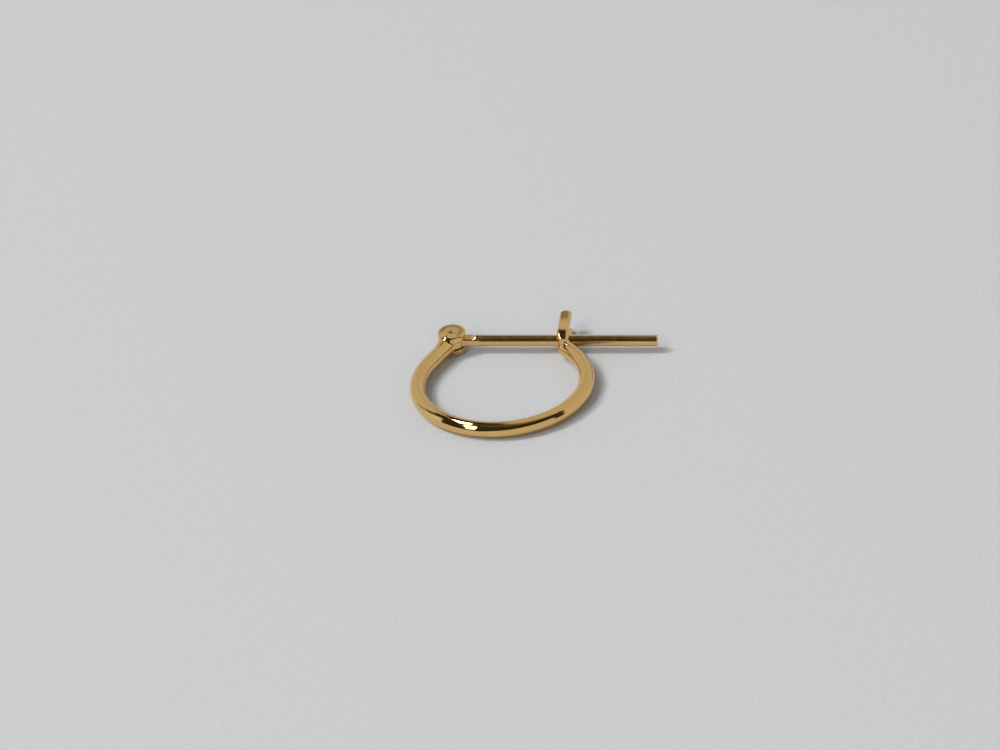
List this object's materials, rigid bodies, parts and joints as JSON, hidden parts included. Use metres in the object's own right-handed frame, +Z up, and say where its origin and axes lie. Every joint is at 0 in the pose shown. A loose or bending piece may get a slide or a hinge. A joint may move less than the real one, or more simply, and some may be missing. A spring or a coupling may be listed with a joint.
{
  "type": "hoop earring",
  "caption": "Small plain round-wire hoop earring lying flat, with a straight ear pin that turns on a riveted hinge and closes into an open fork catch.",
  "frame": {"origin": "centre of the earring's bounding box, on the surface that it lies on", "axes": "+X along the ear pin towards its free end, +Y from the middle of the hoop towards the pin, +Z up, out of the lying hoop's plane"},
  "size_m": [0.0158, 0.0136, 0.0016],
  "materials": {
    "hoop_gold": "polished yellow gold",
    "pin_gold": "polished yellow gold",
    "rivet_gold": "polished yellow gold"
  },
  "bodies": {
    "hoop_body": {"hoop": "hoop_gold", "hinge_rivet": "rivet_gold"},
    "pin_body": {"ear_pin": "pin_gold"}
  },
  "joints": [
    {"name": "pin_hinge", "type": "hinge", "parent": "hoop_body", "child": "pin_body", "pos_m": [-0.00575, 0.00423, 0.00078], "axis": [0, -0.0243, 0.9997], "range_deg": [0, 100]}
  ]
}
